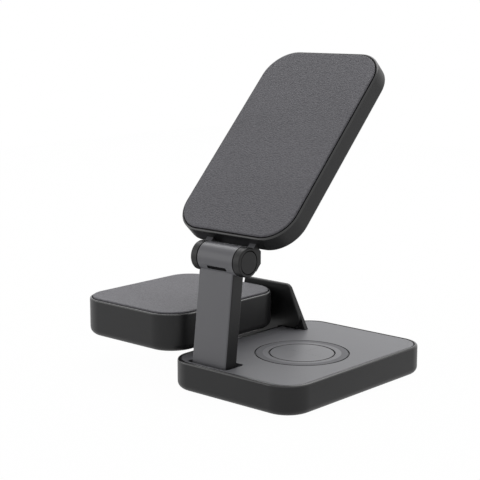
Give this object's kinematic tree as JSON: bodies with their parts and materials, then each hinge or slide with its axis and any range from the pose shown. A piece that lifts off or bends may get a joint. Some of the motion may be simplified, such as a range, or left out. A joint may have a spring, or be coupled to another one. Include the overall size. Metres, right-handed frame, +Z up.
{
  "type": "wireless charger",
  "caption": "Desk charging stand: a rounded base with a round watch place, a tilting arm with a barrel-hinged phone pad, and a raised side pad on a pivot bracket.",
  "frame": {"origin": "centre of the base's underside, on the table", "axes": "+X to the right along the base's front edge, +Y to the back, +Z up"},
  "size_m": [0.1376, 0.1036, 0.1515],
  "materials": {
    "shell_plastic": "satin",
    "top_plastic": "fine matte",
    "disc_plastic": "satin",
    "inner_plastic": "plain",
    "face_leather": "fine grain",
    "hinge_metal": "satin",
    "steel": "brushed",
    "screw_steel": "dark plated",
    "foot_rubber": "matte",
    "lens": "gloss",
    "copper": "wound wire",
    "ferrite": "matte",
    "magnet_nickel": "plated",
    "board": "lacquered"
  },
  "bodies": {
    "base": {"base_foot_sheet": "foot_rubber", "base_shell": "shell_plastic", "base_top_cover": "top_plastic", "charge_ring": "top_plastic", "charge_disc": "disc_plastic", "base_coil": "copper", "base_coil_shield": "ferrite", "base_board": "board", "base_board_screws": "screw_steel", "usb_c_shell": "steel", "usb_c_tongue": "inner_plastic", "ballast_plate": "steel", "base_cover_screws": "screw_steel", "arm_hinge_blocks": "inner_plastic", "arm_hinge_screws": "screw_steel", "arm_hinge_pin": "steel", "bracket_body": "shell_plastic", "bracket_screws": "screw_steel", "pivot_bush": "inner_plastic", "pivot_cap": "shell_plastic"},
    "arm": {"arm_front_shell": "shell_plastic", "indicator_lens": "lens", "arm_spine": "steel", "arm_back_cover": "shell_plastic", "arm_back_screws": "screw_steel"},
    "phone_pad": {"phone_hinge_fork": "hinge_metal", "phone_hinge_screws": "screw_steel", "phone_hinge_pin": "steel", "hinge_end_caps": "hinge_metal", "hinge_washers": "inner_plastic", "phone_coil": "copper", "phone_coil_shield": "ferrite", "phone_magnets": "magnet_nickel", "phone_board": "board", "phone_board_screws": "screw_steel", "phone_rear_shell": "shell_plastic", "phone_front_cover": "inner_plastic", "phone_face_sheet": "face_leather", "phone_cover_screws": "screw_steel"},
    "side_pad": {"side_board": "board", "side_board_screws": "screw_steel", "side_cover": "inner_plastic", "side_cover_screws": "screw_steel", "side_face_sheet": "face_leather", "side_coil": "copper", "side_coil_shield": "ferrite", "side_shell": "shell_plastic", "pivot_pin": "steel", "pivot_washer": "steel", "pivot_nut": "steel"}
  },
  "joints": [
    {"name": "arm_tilt", "type": "hinge", "parent": "base", "child": "arm", "pos_m": [-0.01495, -0.04405, 0.00745], "axis": [-1, 0, 0], "range_deg": [-8, 16]},
    {"name": "phone_tilt", "type": "hinge", "parent": "arm", "child": "phone_pad", "pos_m": [-0.01495, -0.03753, 0.06216], "axis": [-1, 0, 0], "range_deg": [-40, 25]},
    {"name": "side_tilt", "type": "hinge", "parent": "base", "child": "side_pad", "pos_m": [-0.0481, 0.0291, 0.02445], "axis": [0, 1, 0], "range_deg": [-8, 45]}
  ]
}
